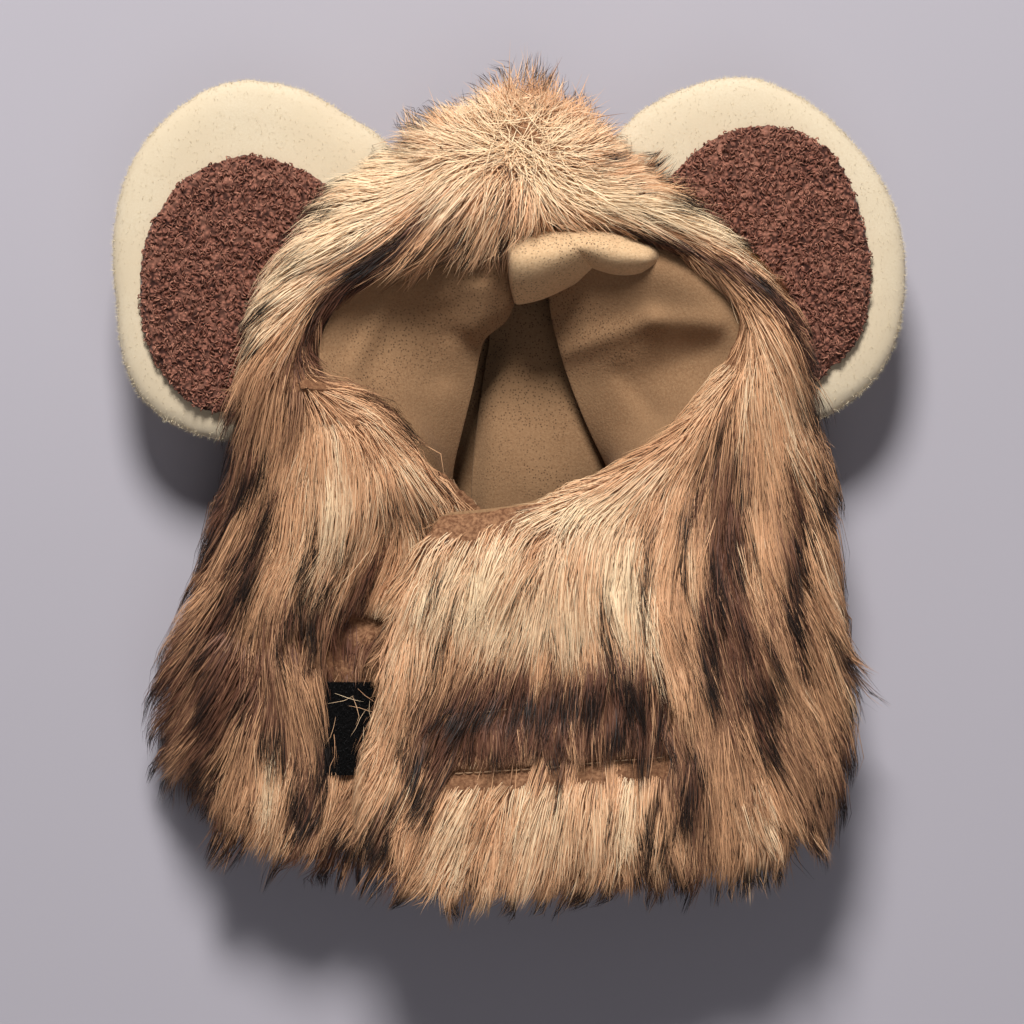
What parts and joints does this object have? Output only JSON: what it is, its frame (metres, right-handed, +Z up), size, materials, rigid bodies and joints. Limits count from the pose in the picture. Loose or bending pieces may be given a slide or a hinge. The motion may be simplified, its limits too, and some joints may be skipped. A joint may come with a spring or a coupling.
{
  "type": "lion mane hat",
  "caption": "Furry mane hood for a cat or small dog with round plush ears, a face opening, a fleece lining and a hook-and-loop chin flap.",
  "frame": {"origin": "middle of the underside of the whole hood as it lies on its back", "axes": "+Z up out of the face opening, +Y from the neck edge to the crown, +X to the side whose chin flap lies on top"},
  "size_m": [0.2412, 0.2526, 0.0707],
  "materials": {
    "mane_fur": "long faux fur, tan with dark tips",
    "fleece_lining": "short tan fleece",
    "hook_tape_black": "woven tape with nylon hooks",
    "loop_tape_black": "woven tape with soft loops",
    "ear_plush": "short cream plush",
    "ear_boucle": "curly brown boucle"
  },
  "bodies": {
    "root": {"fur_hood": "mane_fur", "lining": "fleece_lining", "lining_fold_left": "fleece_lining", "lining_fold_right": "fleece_lining", "hook_tape": "hook_tape_black", "loop_tape": "loop_tape_black", "ear_left": "ear_plush", "ear_right": "ear_plush", "ear_patch_left": "ear_boucle", "ear_patch_right": "ear_boucle"}
  },
  "joints": []
}
